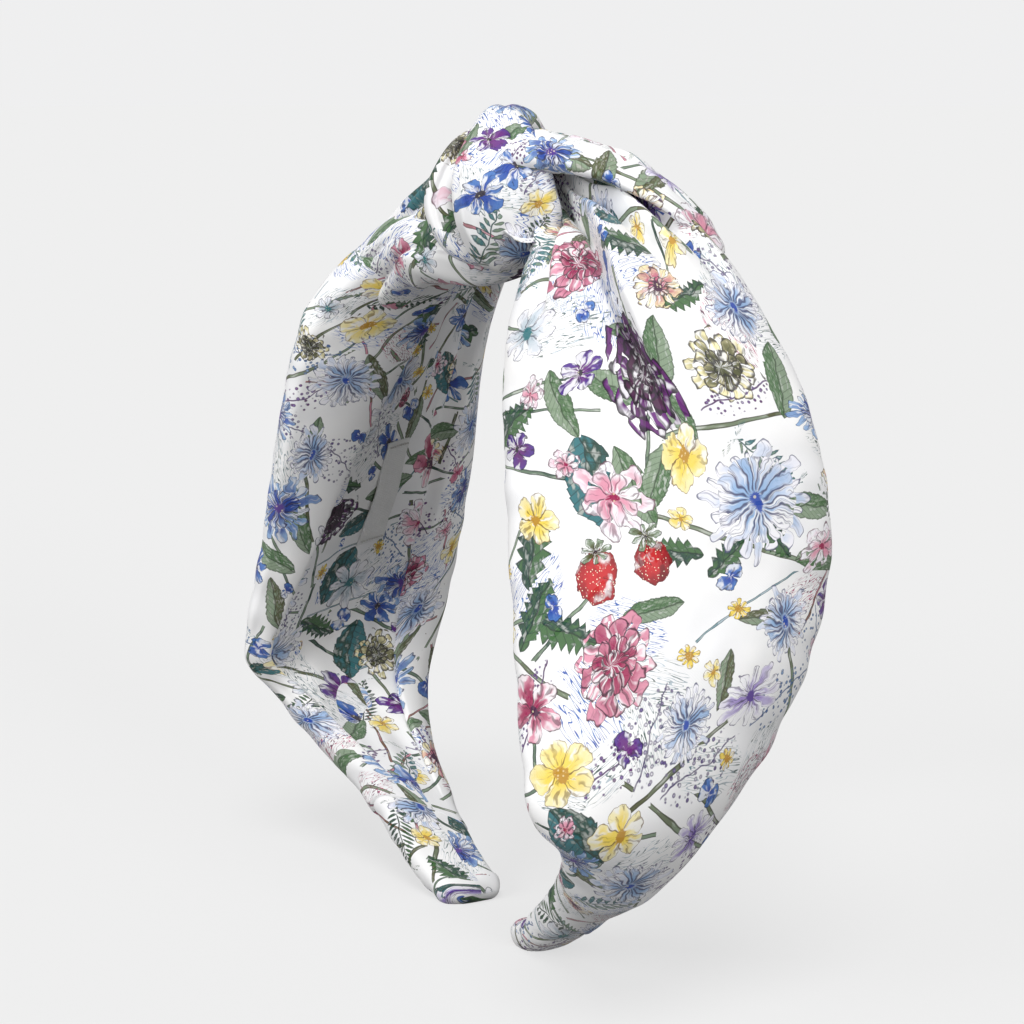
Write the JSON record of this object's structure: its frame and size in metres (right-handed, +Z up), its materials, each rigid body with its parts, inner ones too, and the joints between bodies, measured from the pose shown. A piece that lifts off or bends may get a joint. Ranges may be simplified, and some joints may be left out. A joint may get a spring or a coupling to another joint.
{
  "type": "knotted headband",
  "caption": "Wide padded cotton headband with a knot on top, a springy band inside and fabric-covered tips, standing on its tips.",
  "frame": {"origin": "on the floor, midway between the two tips, below the knot", "axes": "+Z up toward the knot, -Y toward the wearer's front, +X toward the wearer's right leg of the band"},
  "size_m": [0.1436, 0.0563, 0.164],
  "materials": {
    "printed_cotton": "matte woven, floral print",
    "lining_cotton": "matte woven, floral print",
    "filling": "soft foam",
    "band_plastic": "smooth",
    "label_tape": "fine woven tape",
    "thread": "sewing thread"
  },
  "bodies": {
    "crown": {"core_band_crown": "band_plastic", "lining_crown": "lining_cotton", "knot_padding": "filling", "knot_wrap": "printed_cotton", "knot_shoulder_left": "printed_cotton", "knot_shoulder_right": "printed_cotton"},
    "left_leg": {"core_band_left": "band_plastic", "foam_pad_left": "filling", "outer_cover_left": "printed_cotton", "lining_left": "lining_cotton", "tip_sleeve_left": "printed_cotton", "gather_strand_left": "printed_cotton", "woven_label": "label_tape", "label_stitch_upper": "thread", "label_stitch_lower": "thread"},
    "right_leg": {"core_band_right": "band_plastic", "foam_pad_right": "filling", "outer_cover_right": "printed_cotton", "lining_right": "lining_cotton", "tip_sleeve_right": "printed_cotton", "gather_strand_right": "printed_cotton"}
  },
  "joints": [
    {"name": "left_leg_flex", "type": "hinge", "parent": "crown", "child": "left_leg", "pos_m": [-0.0262, 0, 0.1412], "axis": [0, 1, 0], "range_deg": [0, 20], "stiffness_Nm_per_rad": 1.1},
    {"name": "right_leg_flex", "type": "hinge", "parent": "crown", "child": "right_leg", "pos_m": [0.0262, 0, 0.1412], "axis": [0, -1, 0], "range_deg": [0, 20], "stiffness_Nm_per_rad": 1.1}
  ]
}
